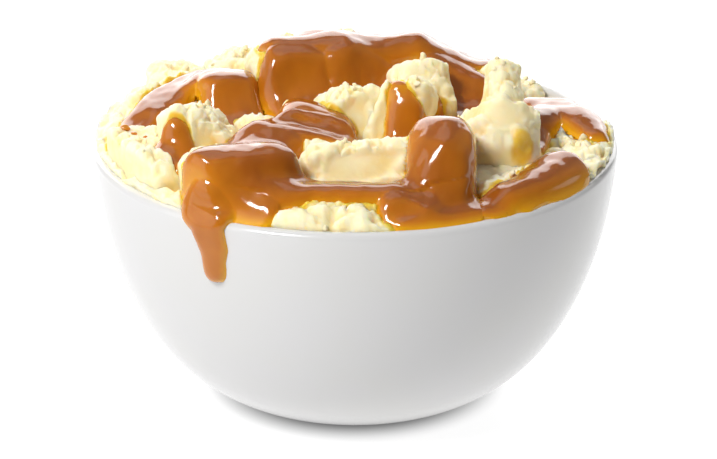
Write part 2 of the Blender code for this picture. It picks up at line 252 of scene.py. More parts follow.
def crumble(points, width, seed=0):
    """Round crumbs of many sizes from 0 to 1 high: the root of one less the squared
    distance to the nearest of the random spots, one in each lattice cell, each distance
    taken in units of the spot's own size."""
    scaled = points / width
    cell = np.floor(scaled).astype(np.int64)
    nearest = np.full(points.shape[:-1], 9.0)
    for step in itertools.product((-1, 0, 1), repeat=3):
        there = cell + step
        pick = shuffled(there, seed)
        gap = there + SPOTS[pick] - scaled
        size = 0.55 + 0.75 * SPOTS[SHUFFLE[pick], 0]
        nearest = np.minimum(nearest, (gap**2).sum(-1) / size**2)
    return np.sqrt(np.clip(1 - nearest / 0.8, 0, 1))


def ramp(value, low, high):
    """0 below low, 1 above high, and 3t^2 - 2t^3 between them."""
    part = np.clip((value - low) / (high - low), 0, 1)
    return part * part * (3 - 2 * part)


# ------------------------------------------------------------------ meshes


def ball_faces(rows, columns):
    """Quads and triangles of a closed surface: a pole, rows of columns, and a pole."""
    grid = 1 + np.arange(rows * columns).reshape(rows, columns)
    right = np.roll(grid, -1, axis=1)
    quads = np.stack([grid[:-1], grid[1:], right[1:], right[:-1]], -1).reshape(-1, 4)
    first = np.stack([np.zeros_like(grid[0]), grid[0], right[0]], -1)
    last = np.stack([np.full_like(grid[0], rows * columns + 1), right[-1], grid[-1]], -1)
    return quads, np.concatenate([first, last])


def volume_of(points, quads, triangles):
    """Volume inside a closed surface: a sixth of the sum of its triangles' determinants."""
    faces = np.concatenate([triangles, quads[:, [0, 1, 2]], quads[:, [0, 2, 3]]])
    a, b, c = (points[faces[:, i]] for i in range(3))
    return (np.cross(a, b) * c).sum() / 6


def in_scene(name, data):
    """A new object in the scene."""
    made = bpy.data.objects.new(name, data)
    bpy.context.scene.collection.objects.link(made)
    return made


def new_piece(name, points, faces, material, stands_for=(), marks=None):
    """A closed mesh in metres, facing out, of quads and triangles, with its marks as
    attributes on its points."""
    quads, triangles = faces
    if volume_of(points, quads, triangles) < 0:
        quads, triangles = quads[:, ::-1], triangles[:, ::-1]
    mesh = bpy.data.meshes.new(name)
    mesh.vertices.add(len(points))
    mesh.vertices.foreach_set("co", (points / MM).astype(np.float32).ravel())
    ends = np.concatenate([quads.ravel(), triangles.ravel()]).astype(np.int32)
    sizes = np.concatenate([np.full(len(quads), 4), np.full(len(triangles), 3)])
    mesh.loops.add(len(ends))
    mesh.loops.foreach_set("vertex_index", ends)
    mesh.polygons.add(len(sizes))
    starts = np.concatenate([[0], np.cumsum(sizes)[:-1]]).astype(np.int32)
    mesh.polygons.foreach_set("loop_start", starts)
    mesh.update(calc_edges=True)
    if mesh.validate():
        raise RuntimeError(f"{name}: the mesh had faulty faces")
    mesh.shade_smooth()
    for mark, values in (marks or {}).items():
        attribute = mesh.attributes.new(mark, "FLOAT", "POINT")
        attribute.data.foreach_set("value", values.astype(np.float32))
    mesh.materials.append(material)
    made = in_scene(name, mesh)
    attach(made, "root")
    if stands_for:
        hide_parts(*stands_for)


def turned(radius, height, columns):
    """A profile turned about the z axis, its first and last points on the axis:
    x = r cos a, y = r sin a."""
    angle = np.linspace(0, 2 * np.pi, columns, endpoint=False)
    ring = np.empty((len(radius) - 2, columns, 3))
    ring[..., 0] = radius[1:-1, None] * np.cos(angle)
    ring[..., 1] = radius[1:-1, None] * np.sin(angle)
    ring[..., 2] = height[1:-1, None]
    return np.concatenate([[[0, 0, height[0]]], ring.reshape(-1, 3), [[0, 0, height[-1]]]])


def ball(rows, columns):
    """Points of a ball of radius 1: the half circle sin a, cos a, turned."""
    polar = np.pi * np.arange(rows + 2) / (rows + 1)
    return turned(np.sin(polar), np.cos(polar), columns)


def copies(faces, size, count):
    """The faces of `count` surfaces of the same kind, each with `size` points."""
    shift = size * np.arange(count)[:, None, None]
    return [(shift + part).reshape(-1, part.shape[1]) for part in faces]


# ------------------------------------------------------------------ shader maths


class Term:
    """A socket's value in a sum. The operators add the Math node that works them out."""

    def __init__(self, shader, socket):
        self.shader, self.socket = shader, socket

    def worked(self, operation, *values, clamp=False):
        settings = {"operation": operation, "use_clamp": clamp}
        return self.shader.out("ShaderNodeMath", settings, dict(enumerate(values)))

    def __add__(self, other):
        return self.worked("ADD", self, other)

    __radd__ = __add__

    def __sub__(self, other):
        return self.worked("SUBTRACT", self, other)

    def __rsub__(self, other):
        return self.worked("SUBTRACT", other, self)

    def __mul__(self, other):
        return self.worked("MULTIPLY", self, other)

    __rmul__ = __mul__

    def clipped(self):
        """The value held between 0 and 1."""
        return self.worked("ADD", self, 0.0, clamp=True)

    def between(self, low, high, first=0.0, last=1.0):
        """`first` at low, `last` at high, smooth between them."""
        settings = {"interpolation_type": "SMOOTHSTEP"}
        values = {"Value": self, "From Min": low, "From Max": high, "To Min": first, "To Max": last}
        return self.shader.out("ShaderNodeMapRange", settings, values)


class Shader:
    """The nodes of a material or a world, with one shader on their output."""

    def __init__(self, owner, surface="ShaderNodeBsdfPrincipled", output="ShaderNodeOutputMaterial"):
        owner.use_nodes = True
        self.owner, self.tree = owner, owner.node_tree
        self.tree.nodes.clear()
        self.surface = self.tree.nodes.new(surface)
        end = self.tree.nodes.new(output)
        self.tree.links.new(self.surface.outputs[0], end.inputs["Surface"])

    def give(self, node, inputs):
        """Sets or links a node's sockets."""
        for key, value in inputs.items():
            if isinstance(value, Term):
                self.tree.links.new(value.socket, node.inputs[key])
            else:
                node.inputs[key].default_value = value

    def out(self, kind, settings=None, inputs=None, output=0):
        """A new node's output, after its settings and then its sockets are set."""
        node = self.tree.nodes.new(kind)
        for key, value in (settings or {}).items():
            if key == "stops":
                for _ in value[2:]:
                    node.color_ramp.elements.new(0.5)
                for stop, (position, colour) in zip(node.color_ramp.elements, value):
                    stop.position, stop.color = position, colour
            else:
                setattr(node, key, value)
        self.give(node, inputs or {})
        return Term(self, node.outputs[output])

    def place(self):
        """Object coordinates, in metres."""
        return self.out("ShaderNodeTexCoord", output="Object")

    def mark(self, name):
        """A number kept on the mesh's points."""
        settings = {"attribute_name": name}
        return self.out("ShaderNodeAttribute", settings, output="Fac")

    def noise(self, place, width, detail=2.0, roughness=0.5, distortion=0.0):
        """Noise from 0 to 1 with blots about `width` millimetres across."""
        inputs = {
            "Vector": place,
            "Scale": MM / width,
            "Detail": detail,
            "Roughness": roughness,
            "Distortion": distortion,
        }
        return self.out("ShaderNodeTexNoise", None, inputs)

    def mixed(self, share, first, second):
        """Colour between first and second by share."""
        inputs = {"Factor": share, 6: first, 7: second}
        return self.out("ShaderNodeMix", {"data_type": "RGBA"}, inputs, output=2)

    def bump(self, height, depth, strength=1.0):
        """A normal bent by a height from 0 to 1 that is `depth` millimetres deep."""
        inputs = {"Height": height, "Distance": depth / MM, "Strength": strength}
        return self.out("ShaderNodeBump", None, inputs)


def china_material(colour):
    """White glaze: even and glossy, with the faint unevenness of a fired surface."""
    shader = Shader(bpy.data.materials.new("glazed china"))
    place = shader.place()
    wave = shader.noise(place, 14, detail=1)
    fleck = shader.noise(place, 0.9, detail=2)
    warm = (colour[0], colour[1], colour[2] * 0.985, 1)
    tint = shader.mixed(wave.between(0.3, 0.7), (*colour, 1), warm)
    shader.give(
        shader.surface,
        {
            "Base Color": tint,
            "Roughness": 0.16 + 0.07 * shader.noise(place, 6),
            "IOR": 1.5,
            "Coat Weight": 0.3,
            "Coat Roughness": 0.05,
            "Normal": shader.bump(wave + 0.06 * fleck, 0.05, 0.35),
        },
    )
    return shader.owner


def potato_material(name, cream, pale, ochre, soft, relief):
    """Mashed potato: cream with paler crumbs and ochre where gravy has soaked in. Light
    wanders through it as far as it is soft, and its grain is as deep as the relief."""
    shader = Shader(bpy.data.materials.new(name))
    place = shader.place()
    broad = shader.noise(place, 9, detail=3).between(0.38, 0.66)
    fine = shader.noise(place, 1.6, detail=4, roughness=0.6)
    crumb = shader.mark("crumb")
    deep = (cream[0] * 0.97, cream[1] * 0.9, cream[2] * 0.68)
    body = shader.mixed(broad, (*cream, 1), (*deep, 1))
    body = shader.mixed((crumb * 0.8 + fine.between(0.5, 0.75) * 0.35).clipped(), body, (*pale, 1))
    soaked = (shader.mark("stain") + 0.5 * (fine - 0.5)).between(0.12, 0.95)
    tint = shader.mixed(soaked, body, (*ochre, 1))
    grain = shader.noise(place, 0.55, detail=3, roughness=0.55)
    shader.give(
        shader.surface,
        {
            "Base Color": tint,
            "Roughness": 0.62 - 0.3 * soaked + 0.1 * (grain - 0.5),
            "IOR": 1.38,
            "Subsurface Weight": soft,
            "Subsurface Radius": (1.0, 0.85, 0.5),
            "Subsurface Scale": 0.0022,
            "Normal": shader.bump(0.5 * grain + 0.5 * fine, relief, 0.5),
        },
    )
    return shader.owner


def gravy_material(thin, middle, thick):
    """Gravy: glossy and clear enough to look ochre where it is thin and brown where thick. Its depth
    mark also darkens level tops, partly as painted shade.
    """
    shader = Shader(bpy.data.materials.new("brown gravy"))
    place = shader.place()
    swirl = shader.noise(place, 7, detail=2, distortion=0.6)
    # The depth mark holds the gravy's thickness and, on level tops, painted shade as well.
    depth = shader.mark("depth") + 0.22 * (swirl - 0.5)
    stops = [(0.0, (*thin, 1)), (0.45, (*middle, 1)), (1.0, (*thick, 1))]
    tint = shader.out("ShaderNodeValToRGB", {"stops": stops}, {"Fac": depth})
    speck = shader.noise(place, 0.8, detail=2).between(0.68, 0.76)
    tint = shader.mixed(0.25 * speck, tint, (*thick, 1))
    shader.give(
        shader.surface,
        {
            "Base Color": tint,
            "Roughness": 0.1 + 0.06 * shader.noise(place, 5),
            "IOR": 1.42,
            "Coat Weight": 0.4,
            "Coat Roughness": 0.04,
            "Subsurface Weight": 0.18,
            "Subsurface Radius": (1.0, 0.35, 0.06),
            "Subsurface Scale": 0.0015,
            "Normal": shader.bump(shader.noise(place, 2.6, detail=1), 0.05, 0.3),
        },
    )
    return shader.owner


# ------------------------------------------------------------------ bowl


# The bowl's outline is one curve, drawn for a rim 57.5 mm high: it starts this far below
# the table, is this tall, and has these powers in its height and its radius.
DRAWN_HEIGHT, CURVE_START, CURVE_TALL, CURVE_UP, CURVE_OUT = 57.5, 1.9, 59.6, 1.694, 3.422


def curve(height):
    """The outline's radius as a share of the rim's: (1 - (1 - (z + start) / tall)^up)^(1/out)."""
    share = np.clip(1 - (height + CURVE_START) / CURVE_TALL, 0, 1)
    return (1 - share**CURVE_UP) ** (1 / CURVE_OUT)


def outer_radius(height):
    """Radius of the bowl's outside: the curve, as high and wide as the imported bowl."""
    return BOWL_RADIUS * curve(height * DRAWN_HEIGHT / RIM_HEIGHT)


def inner_radius(height, wall, floor):
    """Radius of the inside: the same curve, one wall in and squeezed to start at the floor."""
    return (BOWL_RADIUS - wall) * curve((height - floor) / (RIM_HEIGHT - floor) * RIM_HEIGHT)


def section(radius, height):
    """Points of a section, from radii and heights, either of which may be one number."""
    return np.stack(np.broadcast_arrays(radius, height), -1)


def bowl_profile(wall, floor):
    """The bowl's section, as radius and height, from the middle of its underside to the
    middle of its floor: foot ring, outside, half-round lip and inside. Its points lie
    `closer` together lower down."""
    foot_out, foot_in, recess, lip = 23.9, 21.4, 1.3, wall / 2
    above_foot, beside_floor, closer = 0.9, 20, 1.25
    turn = np.linspace(0, np.pi / 2, 5)
    foot = [
        section(np.linspace(0, foot_in - 1, 14), recess),
        section(foot_in - 0.6 + 0.6 * np.sin(turn) - 0.3, recess * np.cos(turn) * 0.5 + 0.2),
        section(foot_in + 0.5 * (1 - np.cos(turn)) + 0.1, 0.35 * (1 - np.sin(turn))),
        section(foot_out - 0.7 + 0.6 * np.sin(turn), 0.4 * (1 - np.cos(turn))),
    ]
    rise = (RIM_HEIGHT - lip) * np.linspace(0, 1, 90) ** closer
    rise = rise[rise > above_foot]
    bend = np.linspace(0, np.pi, 18)[1:-1]
    rim = section(BOWL_RADIUS - lip + lip * np.cos(bend), RIM_HEIGHT - lip + lip * np.sin(bend))
    fall = floor + (RIM_HEIGHT - lip - floor) * np.linspace(1, 0, 60) ** closer
    inside = section(inner_radius(fall, wall, floor), fall)[:-1]
    inside = inside[inside[:, 0] > beside_floor]
    base = section(np.linspace(inside[-1, 0] - 2, 0, 10), inside[-1, 1] - 0.2)
    return np.concatenate([*foot, section(outer_radius(rise), rise), rim, inside, base]).T


def outside_of_bowl(points, lip=1.6):
    """Distance outside the bowl taken as solid: from its wall below the lip's middle, and
    from the lip's round above it."""
    radius = radius_of(points)
    above = points[:, 2] - (RIM_HEIGHT - lip)
    wall = (radius - outer_radius(np.minimum(points[:, 2], RIM_HEIGHT - lip))) * SLOPED
    edge = np.hypot(np.maximum(radius - (BOWL_RADIUS - lip), 0), above) - lip
    return np.where(above > 0, edge, wall)


# ------------------------------------------------------------------ potato


def covered_rim(x, y):
    """How much of the bowl's lip potato hides: all of it at the left and a little at the
    front, but none at the right-hand back, where it shows, or where gravy reaches it."""
    turn = np.degrees(np.arctan2(y, x))
    back = ramp(turn, 8, 24) * (1 - ramp(turn, 70, 90))
    front = ramp(turn, -128, -116) * (1 - ramp(turn, -36, -28))
    return 1 - back - front * (0.75 + 0.25 * ramp(turn, -90, -84))


def bed_height(x, y):
    """Height of the bed: its top, less a fall with the square of the radius and a bell-shaped
    dish at the right-hand back, plus what lies on the lip and a low ridge at the front."""
    fall, dish, on_lip, ridge = 5.0, 4.5, 1.9, 3.0
    bell = np.exp(-(((x - 44) / 14) ** 2) - ((y - 22) / 16) ** 2)
    edge = on_lip * covered_rim(x, y) * ramp(np.hypot(x, y), 49, 55)
    front = ridge * np.exp(-(((x + 5.5) / 11) ** 4) - ((y + 51.6) / 2.2) ** 2)
    return BED_HIGH - fall * (x * x + y * y) / 54.0**2 - dish * bell + edge + front


def triangles_of(node):
    """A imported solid's points and the corners of its triangles, in millimetres."""
    mesh = frame["nodes"][node].data
    points = np.empty(len(mesh.vertices) * 3, np.float32)
    mesh.vertices.foreach_get("co", points)
    points = points.reshape(-1, 3) * MM
    mesh.calc_loop_triangles()
    index = np.empty(len(mesh.loop_triangles) * 3, np.int32)
    mesh.loop_triangles.foreach_get("vertices", index)
    return points, np.moveaxis(points[index].reshape(-1, 3, 3), 1, 0)


def flat_sides(node):
    """A lump's flat sides, as outward normals and their distances from its middle, with
    the middle. They are the planes of its triangles that have all of it behind them, and
    planes on 26 sides of it, 1 mm further out; those that face down reach into the bed. A
    ridged lump has a roof behind the front edge of its top in place of a bevel before it."""
    least_area, slack, top_depth, further_out, into_bed = 0.15, 0.06, 2.5, 1.0, 3.5
    corners, (a, b, c) = triangles_of(node)
    normal = np.cross(b - a, c - a)
    area = np.linalg.norm(normal, axis=1) / 2
    large = area > least_area
    normal, start = normal[large] / (2 * area[large, None]), a[large]
    distance = (normal * start).sum(-1)
    behind = (corners @ normal.T <= distance + slack).all(0)
    normal, distance = normal[behind], distance[behind]
    _, first = np.unique(np.round(normal * 12), axis=0, return_index=True)
    normal, distance = normal[first], distance[first]
    if node in RIDGED:
        kept = (normal[:, 2] < 0.5) | (normal[:, 1] > -0.12)
        top = corners[corners[:, 2] > corners[:, 2].max() - top_depth]
        ridge = ROOF @ [0, top[:, 1].min(), top[:, 2].max()]
        normal, distance = np.vstack([normal[kept], ROOF]), np.append(distance[kept], ridge)
        for facing, (x, height) in SHOULDERS.get(node, ()):
            normal = np.vstack([normal, facing])
            distance = np.append(distance, facing[0] * x + facing[2] * height)
    around = np.array([s for s in itertools.product((-1, 0, 1), repeat=3) if any(s)], float)
    around = unit(around)
    around = around[(around @ normal.T).max(1) < (0.8 if node in RIDGED else 0.92)]
    reach = (corners @ around.T).max(0) + further_out
    normal, distance = np.concatenate([normal, around]), np.concatenate([distance, reach])
    distance = distance + np.where(normal[:, 2] < -0.45, into_bed, 0.0)
    middle = (corners.min(0) + corners.max(0)) / 2
    middle = middle + 0.3 * (corners.mean(0) - middle)
    return normal, distance - normal @ middle, middle


class Lump:
    """A rounded lump: the points where k log(sum of exp(distance to a flat side / k)) is 0,
    with k the rounding."""

    edge_width = 1.1
    at_once = 200000

    def __init__(self, node, rounding):
        self.normal, self.distance, self.middle = flat_sides(node)
        self.rounding = rounding

    def outside(self, points):
        """Distance outside the lump, below zero inside it, worked out a batch at a time."""
        found = np.empty(len(points))
        for start in range(0, len(points), self.at_once):
            batch = slice(start, start + self.at_once)
            gap = (points[batch] - self.middle) @ self.normal.T - self.distance
            most = gap.max(-1)
            spread = np.exp((gap - most[:, None]) / self.rounding).sum(-1)
            found[batch] = most + self.rounding * np.log(spread)
        return found

    def surface(self, directions, start):
        """How far the surface is from the start in these directions, the normals there and
        how much the flat sides share them: 0 on a face and towards 1 on an edge."""
        slope = directions @ self.normal.T
        distance = self.distance - self.normal @ (start - self.middle)
        with np.errstate(divide="ignore"):
            reach = np.where(slope > 1e-3, distance / np.maximum(slope, 1e-3), 1e3).min(-1)
        for _ in range(6):
            gap = (slope * reach[:, None] - distance) / self.rounding
            most = gap.max(-1)
            share = np.exp(gap - most[:, None])
            total = share.sum(-1)
            height = self.rounding * (most + np.log(total))
            share /= total[:, None]
            reach = reach - height / (share * slope).sum(-1)
        normal = unit(share @ self.normal)
        near = np.exp((gap - most[:, None]) * self.rounding / self.edge_width)
        near /= near.sum(-1, keepdims=True)
        return reach, normal, 1 - (near**2).sum(-1)


def grown_together(lumps, directions, blend=3.2):
    """The surface round lumps that share a middle: its reach is b log(sum of exp(reach / b))
    over the lumps, and its normals are shared in the same proportions. Their seam has no
    edge."""
    start = np.mean([lump.middle for lump in lumps], axis=0)
    reach, normal, edge = map(np.stack, zip(*(lump.surface(directions, start) for lump in lumps)))
    most = reach.max(0)
    share = np.exp((reach - most) / blend)
    total = share.sum(0)
    share /= total
    reach = most + blend * np.log(total)
    normal = unit((share[:, :, None] * normal).sum(0))
    apart = ramp(share.max(0), 0.55, 0.85)
    return start + directions * reach[:, None], normal, (share * edge).sum(0) * apart


def stream_edge(points, paths, climb=0.55):
    """How far inside the nearest stream's edge each point is, and the stream's thickness
    there: half width less the distance to the path, whose heights count `climb` as much."""
    inside = np.full(len(points), -99.0)
    thickness = np.ones(len(points))
    squeeze = np.array([1, 1, climb])
    for path in paths:
        for start, end in zip(path[:-1], path[1:]):
            a, b = np.array(start, float), np.array(end, float)
            line = (b - a)[:3] * squeeze
            from_start = (points - a[:3]) * squeeze
            along = np.clip(from_start @ line / (line @ line), 0, 1)
            gap = np.linalg.norm(from_start - along[:, None] * line, axis=1)
            depth = a[3] + along * (b[3] - a[3]) - gap
            nearer = depth > inside
            inside = np.where(nearer, depth, inside)
            thickness = np.where(nearer, a[4] + along * (b[4] - a[4]), thickness)
    return inside, thickness


def soaked_at(points, node, gravies):
    """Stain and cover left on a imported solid's points by the gravy: how near a point lies to
    a body of gravy, and how thick the gravy over it is if it is coated."""
    low, high = corners_of(node)
    rough = 0.45 * swell(points, 4.5, 31) + 0.3 * swell(points, 1.7, 32)
    stain, cover = np.zeros(len(points)), np.zeros(len(points))
    for name, gravy in gravies.items():
        distance, thickness = gravy.outside(points)
        stain = np.maximum(stain, ramp(rough - distance, -0.95, 0.15))
        if node == "mash_bed" or node in COATED[name]:
            cover = np.maximum(cover, ramp(thickness, -0.3, 0.9))
    for across, up, radius in SOAKED_SPOTS.get(node, ()):
        spot = low + (high - low) * [across, 0, up]
        gap = np.hypot(points[:, 0] - spot[0], (points[:, 2] - spot[2]) * 0.7)
        front = ramp(-points[:, 1], -high[1], -low[1])
        stain = np.maximum(stain, 0.8 * front * ramp(radius - gap + 1.6 * rough, -0.8, 1.2))
    return stain, cover


def torn(points, normal, edge, cover, settings):
    """Points pushed by what tearing leaves on potato: broad swells all over, along their
    normals, and crumbs on top and along the edges there, mostly up. Also the crumbs' share."""
    width, smaller, upright = settings.crumb_width * MM, 0.45, normal[:, 2]
    top = ramp(upright, 0.5, 0.82) * (0.5 + 0.5 * ramp(swell(points, 6, 9), -0.1, 0.5))
    along = ramp(edge, 0.2, 0.5) * (0.12 + 0.88 * ramp(upright, 0.05, 0.5))
    patch = ramp(swell(points, 7, 8), 0.1, 0.6)
    loose = np.clip(along + 0.75 * top + 0.1 * patch, 0, 1) * (1 - 0.85 * cover)
    warped = points + 0.6 * np.stack([swell(points, 1.9, seed) for seed in (11, 12, 13)], -1)
    coarse, small = crumble(warped, width, 3), crumble(warped, width * smaller, 4)
    still = 1 - 0.4 * cover
    push = (0.6 * swell(points, 9, 1) + 0.22 * swell(points, 4, 2)) * still
    push += 0.05 * swell(points, 1.1, 5) * still
    rise = settings.crumb_height * MM * (coarse - 0.35) * (0.03 + 0.97 * loose)
    rise += 0.3 * settings.crumb_height * MM * (small - 0.5) * (0.06 + 0.94 * loose)
    upward = normal * [0.45, 0.45, 0.8] + [0, 0, 0.3]
    moved = points + normal * push[:, None] + upward * rise[:, None]
    return moved, loose * ramp(coarse + 0.4 * small, 0.7, 1.2)


def kept_in_bowl(points, wall=3.2, floor=5.0):
    """Points drawn in to the bowl: no further out than the inside of its wall or, above the
    rim, than most of the way over the lip."""
    radius = radius_of(points)
    level = np.minimum(points[:, 2], RIM_HEIGHT - wall / 2)
    above = ramp(points[:, 2], RIM_HEIGHT - wall / 2, RIM_HEIGHT + 0.4)
    over_lip = (0.8 + 1.5 * covered_rim(points[:, 0], points[:, 1])) * above
    most = inner_radius(level, wall, floor) + 0.8 + over_lip
    share = np.minimum(1, most / np.maximum(radius, 1))
    return np.column_stack([points[:, :2] * share[:, None], points[:, 2]])


# ------------------------------------------------------------------ gravy


def blended(first, second, width):
    """The lesser of two distances, rounded over `width` where they cross."""
    share = np.clip(0.5 + 0.5 * (second - first) / width, 0, 1)
    return second + (first - second) * share - width * share * (1 - share)


class Gravy:
    """One body of gravy: the points that lie within its thickness of what it covers, and
    no deeper than `sunk` below that. Where there is none, the distance is given as `far`
    and the thickness as `none`."""

    sunk, far, none = 0.8, 4.0, -3.0

    def __init__(self, name, rounding):
        self.fill = FILLS.get(name, USUAL_FILL)
        self.lumps = [Lump(node, rounding) for node in COATED[name]]
        self.paths = STREAMS[name]
        self.drips = name == DRIPS
        self.on_lip = name in ON_LIP
        every = [spot for path in self.paths for spot in path]
        every = np.array(every + [spot for spot in DRIP if self.drips], float)
        around, below, above = 2.5, 5, 1
        spread = every[:, 3:4] + around
        self.low = (every[:, :3] - spread).min(0) - [0, 0, below]
        self.high = (every[:, :3] + spread).max(0) + [0, 0, above]

    def thickness(self, points):
        """Thickness of the gravy: rises from the stream's edge as the quarter of an ellipse,
        thins out to its furthest reach, and is below zero outside them."""
        rough = 0.5 * swell(points, 5, 21) + 0.2 * swell(points, 2.2, 22)
        wave = 1 + 0.16 * swell(points, 6.5, 23) + 0.07 * swell(points * [1, 1, 0.35], 2.6, 24)

        def layer(inside, full):
            inside = inside + rough
            part = np.clip(inside / (1.8 * full), 0, 1)
            return np.where(inside > 0, full * wave * np.sqrt(1 - (1 - part) ** 2), 1.2 * inside)

        reach, steepness = REACH_ON_LIP if self.on_lip and not self.drips else REACH
        limit = (reach - radius_of(points)) * steepness
        found = blended(layer(*stream_edge(points, self.paths)), limit, 0.8)
        if self.drips:
            found = np.maximum(found, layer(*stream_edge(points, (DRIP,), 1.0)))
        return found

    def ground(self, points):
        """Distance above what the gravy lies on: its lumps, the bed inside the bowl and, for
        gravy on the lip, the bowl, with the creases between them filled."""
        found = (points[:, 2] - bed_height(points[:, 0], points[:, 1])) * SLOPED
        found = np.maximum(found, radius_of(points) - (BOWL_RADIUS - 2))
        for lump in self.lumps:
            found = blended(found, lump.outside(points), self.fill)
        return blended(found, outside_of_bowl(points), 1.5) if self.on_lip else found

    def outside(self, points):
        """Distance outside the gravy, about, and its thickness, worked out only for points
        near its streams and what it lies on."""
        past_edge, sunk_least, raised_most = 3.2, -1.6, 4.5
        inside, _ = stream_edge(points, self.paths)
        if self.drips:
            inside = np.maximum(inside, stream_edge(points, (DRIP,), 1.0)[0])
        found, thickness = np.full(len(points), self.far), np.full(len(points), self.none)
        near = np.flatnonzero(inside > -past_edge)
        height = self.ground(points[near])
        found[near] = np.where(height > 0, self.far, -self.sunk - height)
        close = (height > sunk_least) & (height < raised_most)
        near, height = near[close], height[close]
        thickness[near] = self.thickness(points[near])
        found[near] = np.maximum(height - thickness[near], -self.sunk - height)
        return found, thickness


def neighbours(values, axis):
    """The values without the last along an axis, and without the first."""
    count = values.shape[axis]
    return np.take(values, range(count - 1), axis), np.take(values, range(1, count), axis)


def net(field, low, cell):
    """The surface where a sampled field crosses zero, as points and quads: one point in each
    mixed cell, at the mean of the crossings on its edges, and a quad round each crossed edge."""
    inside = field < 0
    count = inside.astype(np.int8)
    for axis in range(3):
        count = np.add(*neighbours(count, axis))
    cells = np.argwhere((count > 0) & (count < 8))
    number = np.full(count.shape, -1)
    number[tuple(cells.T)] = np.arange(len(cells))
    total, crossings = np.zeros((len(cells), 3)), np.zeros(len(cells))
    for axis in range(3):
        others = [i for i in range(3) if i != axis]
        for shift in itertools.product((0, 1), repeat=2):
            start = cells.copy()
            start[:, others] += shift
            end = start.copy()
            end[:, axis] += 1
            a, b = field[tuple(start.T)], field[tuple(end.T)]
            crossed = (a < 0) != (b < 0)
            part = np.where(crossed, a / np.where(crossed, a - b, 1), 0)
            point = start.astype(float)
            point[:, axis] += part
            total += np.where(crossed[:, None], point, 0)
            crossings += crossed
    points = low + cell * total / crossings[:, None]
    quads = []
    for axis in range(3):
        a, b = (axis + 1) % 3, (axis + 2) % 3
        first, second = neighbours(inside, axis)
        for leaving in (True, False):
            edge = np.argwhere(first & ~second if leaving else ~first & second)
            around = []
            for da, db in ((-1, -1), (0, -1), (0, 0), (-1, 0)):
                at = edge.copy()
                at[:, a] += da
                at[:, b] += db
                around.append(number[tuple(at.T)])
            around = np.stack(around, -1)
            quads.append(around if leaving else around[:, ::-1])
    return points, np.concatenate(quads)


def level_share(points, quads):
    """How level the surface is at each point: the upright share of the sum of its quads'
    normals, each the cross product of the quad's diagonals."""
    a, b, c, d = (points[quads[:, i]] for i in range(4))
    normal = np.cross(c - a, d - b)
    total = np.zeros(points.shape)
    for i in range(4):
        np.add.at(total, quads[:, i], normal)
    return np.abs(total[:, 2]) / np.maximum(np.linalg.norm(total, axis=1), 1e-9)


def all_gravies(context):
    """Every body of gravy by name."""
    rounding = context.scene.potato_gravy.rounding * MM
    return {name: Gravy(name, rounding) for name in COATED}


def settled(gravy, points, cell, step=0.1):
    """Points moved onto the surface: twice down the slope of the distance, by no more than
    half a cell."""
    for _ in range(2):
        here, _ = gravy.outside(points)
        rises = [
            gravy.outside(points + way)[0] - gravy.outside(points - way)[0]
            for way in step * np.eye(3)
        ]
        slope = np.stack(rises, -1) / (2 * step)
        size = np.maximum((slope**2).sum(-1), 0.25)
        move = -(here / size)[:, None] * slope
        length = np.maximum(np.linalg.norm(move, axis=1, keepdims=True), 1e-9)
        points = points + move * np.minimum(1, 0.5 * cell / length)
    return points


def largest_parts(points, quads, least):
    """The mesh without separate parts of fewer than `least` quads. Each point takes the
    lowest number that it can reach along the quads."""
    label = np.arange(len(points))
    while True:
        low = label[quads].min(1)
        new = label.copy()
        for i in range(4):
            np.minimum.at(new, quads[:, i], low)
        new = new[new]
        if (new == label).all():
            break
        label = new
    size = np.bincount(label[quads[:, 0]], minlength=len(points))
    quads = quads[size[label[quads[:, 0]]] >= least]
    used, quads = np.unique(quads, return_inverse=True)
    return points[used], quads.reshape(-1, 4)


# ------------------------------------------------------------------ settings


Count = bpy.props.IntProperty
Number = bpy.props.FloatProperty
Length = functools.partial(bpy.props.FloatProperty, unit="LENGTH")
Angle = functools.partial(bpy.props.FloatProperty, subtype="ANGLE")
Colour = functools.partial(bpy.props.FloatVectorProperty, subtype="COLOR")


class PotatoBowlSettings(bpy.types.PropertyGroup):
    wall: Length(name="Wall", description="Thickness of the bowl's wall", default=0.0032)
    floor: Length(name="Floor", description="Height of the bowl's inside floor", default=0.005)
    columns: Count(name="Columns", description="Sides of the turned bowl", default=288)
    glaze: Colour(name="Glaze", description="Colour of the glaze", default=(0.655, 0.65, 0.65))


class PotatoMashSettings(bpy.types.PropertyGroup):
    cell: Length(name="Cell", description="Width of the potato's mesh cells", default=0.00042)
    rounding: Length(name="Rounding", description="Rounding of a lump's edges", default=0.00045)
    crumb_width: Length(
        name="Crumb width", description="Width of the larger crumbs", default=0.0024
    )
    crumb_height: Length(
        name="Crumb height", description="Height of the larger crumbs", default=0.0022
    )
    loose: Count(name="Loose crumbs", description="Number of loose crumbs", default=130)
    cream: Colour(name="Cream", description="Colour of the potato", default=(0.93, 0.80, 0.48))
    pale: Colour(name="Pale", description="Colour of the crumbs", default=(0.94, 0.86, 0.62))
    ochre: Colour(
        name="Ochre", description="Colour where gravy soaked in", default=(0.84, 0.56, 0.05)
    )


class PotatoGravySettings(bpy.types.PropertyGroup):
    cell: Length(name="Cell", description="Width of the gravy's mesh cells", default=0.0005)
    rounding: Length(name="Rounding", description="Rounding of coated lumps", default=0.0007)
    thin: Colour(name="Thin", description="Colour where thin", default=(0.78, 0.37, 0.008))
    middle: Colour(
        name="Middle", description="Colour of a usual layer", default=(0.52, 0.165, 0.008)
    )
    thick: Colour(name="Thick", description="Colour where thick", default=(0.30, 0.078, 0.006))


